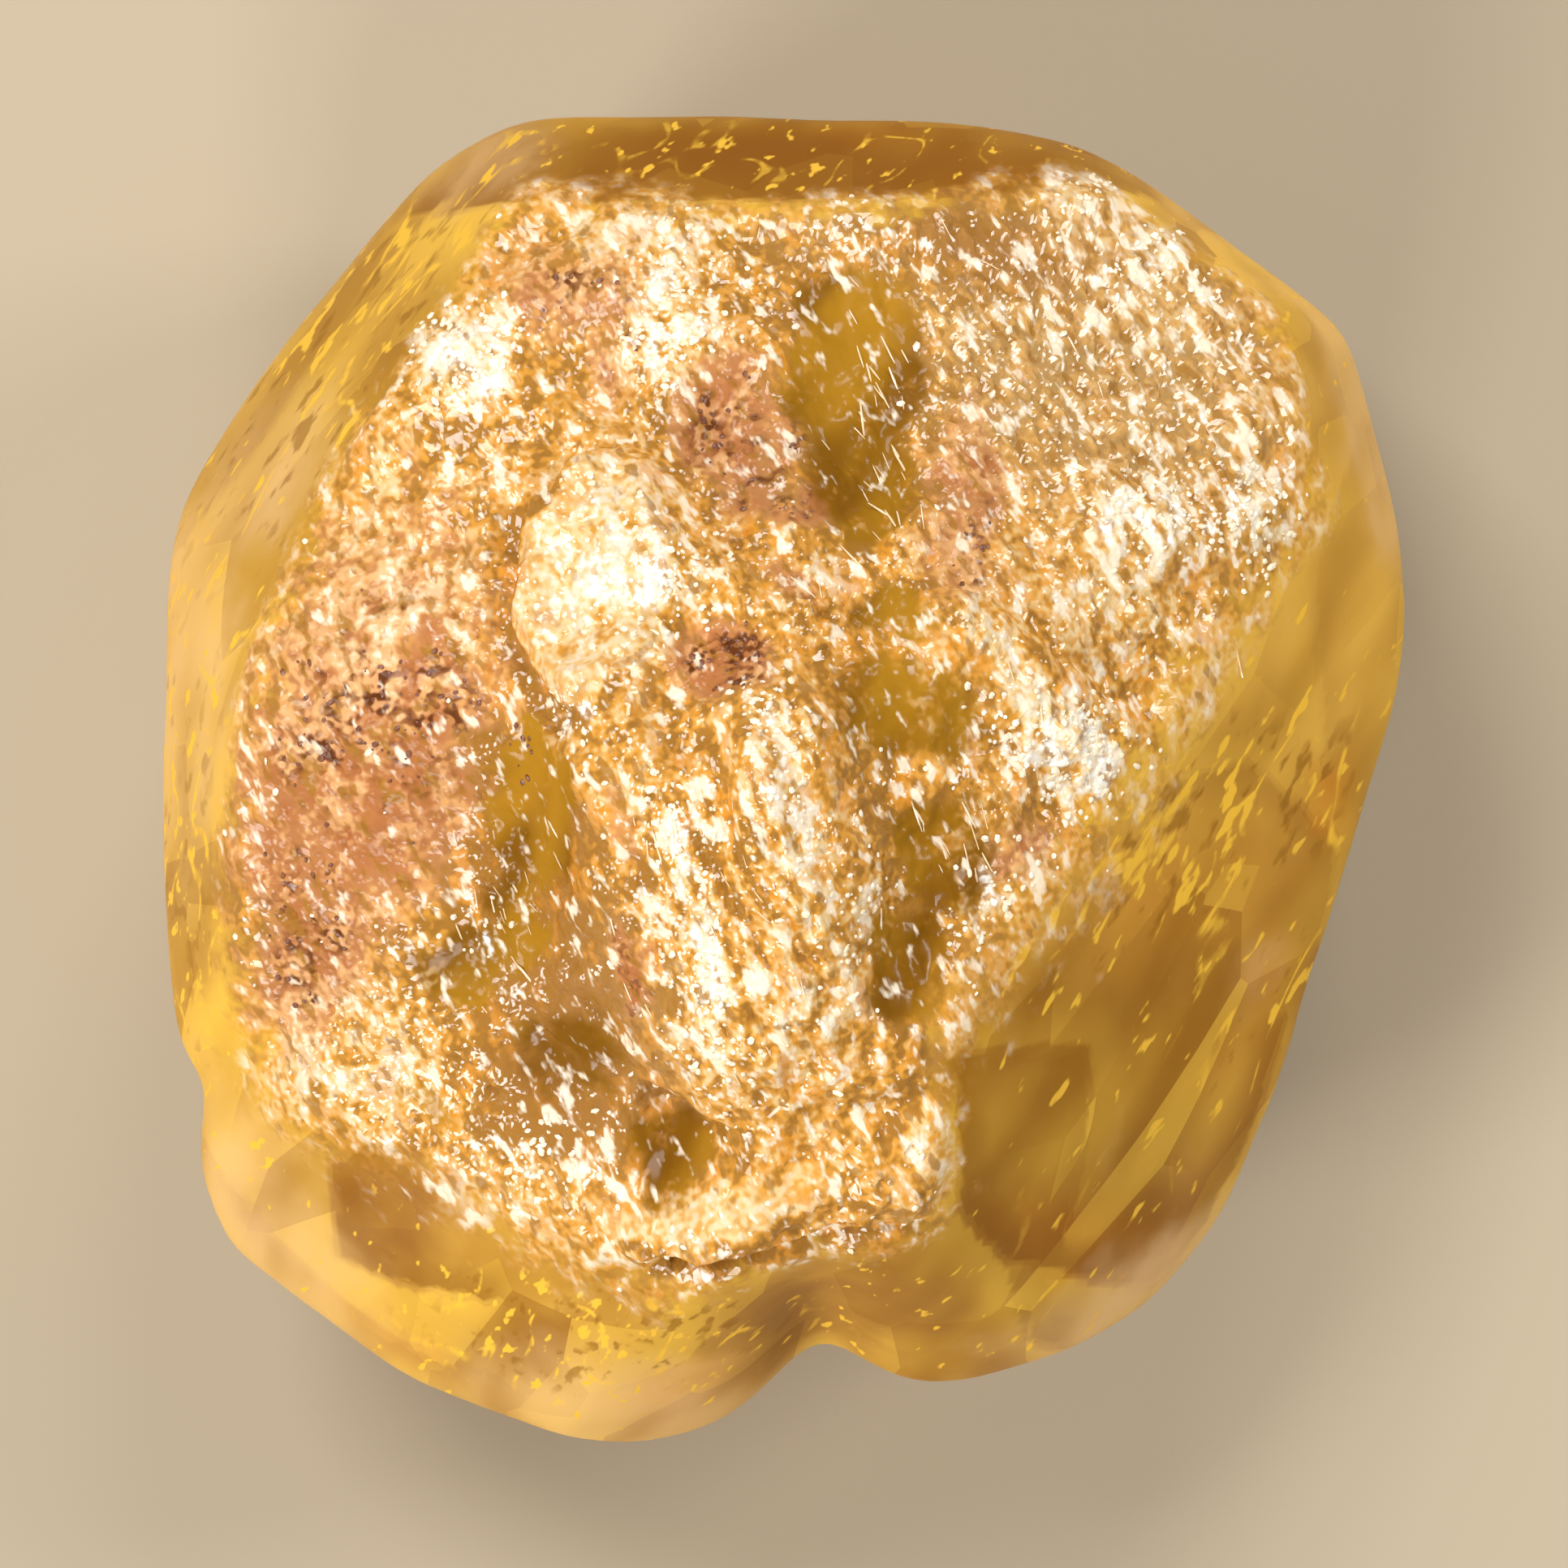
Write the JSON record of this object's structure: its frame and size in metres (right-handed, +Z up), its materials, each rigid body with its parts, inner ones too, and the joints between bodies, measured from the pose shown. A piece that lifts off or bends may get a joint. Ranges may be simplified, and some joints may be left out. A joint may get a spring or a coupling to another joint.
{
  "type": "garnet crystal",
  "caption": "Rough grossular garnet crystal, stubby and rounded, with clear faces round its sides and a weathered, rust-stained front.",
  "frame": {"origin": "middle of the bounding box in X and Y, on the resting face", "axes": "+Y along the crystal's long way, the picture's up; +Z up from the resting face to the weathered front, the short way"},
  "size_m": [0.02, 0.0214, 0.0156],
  "materials": {
    "grossular": "clear honey-yellow crystal, satin sides, rough stained front"
  },
  "bodies": {
    "root": {"garnet_crystal": "grossular"}
  },
  "joints": []
}
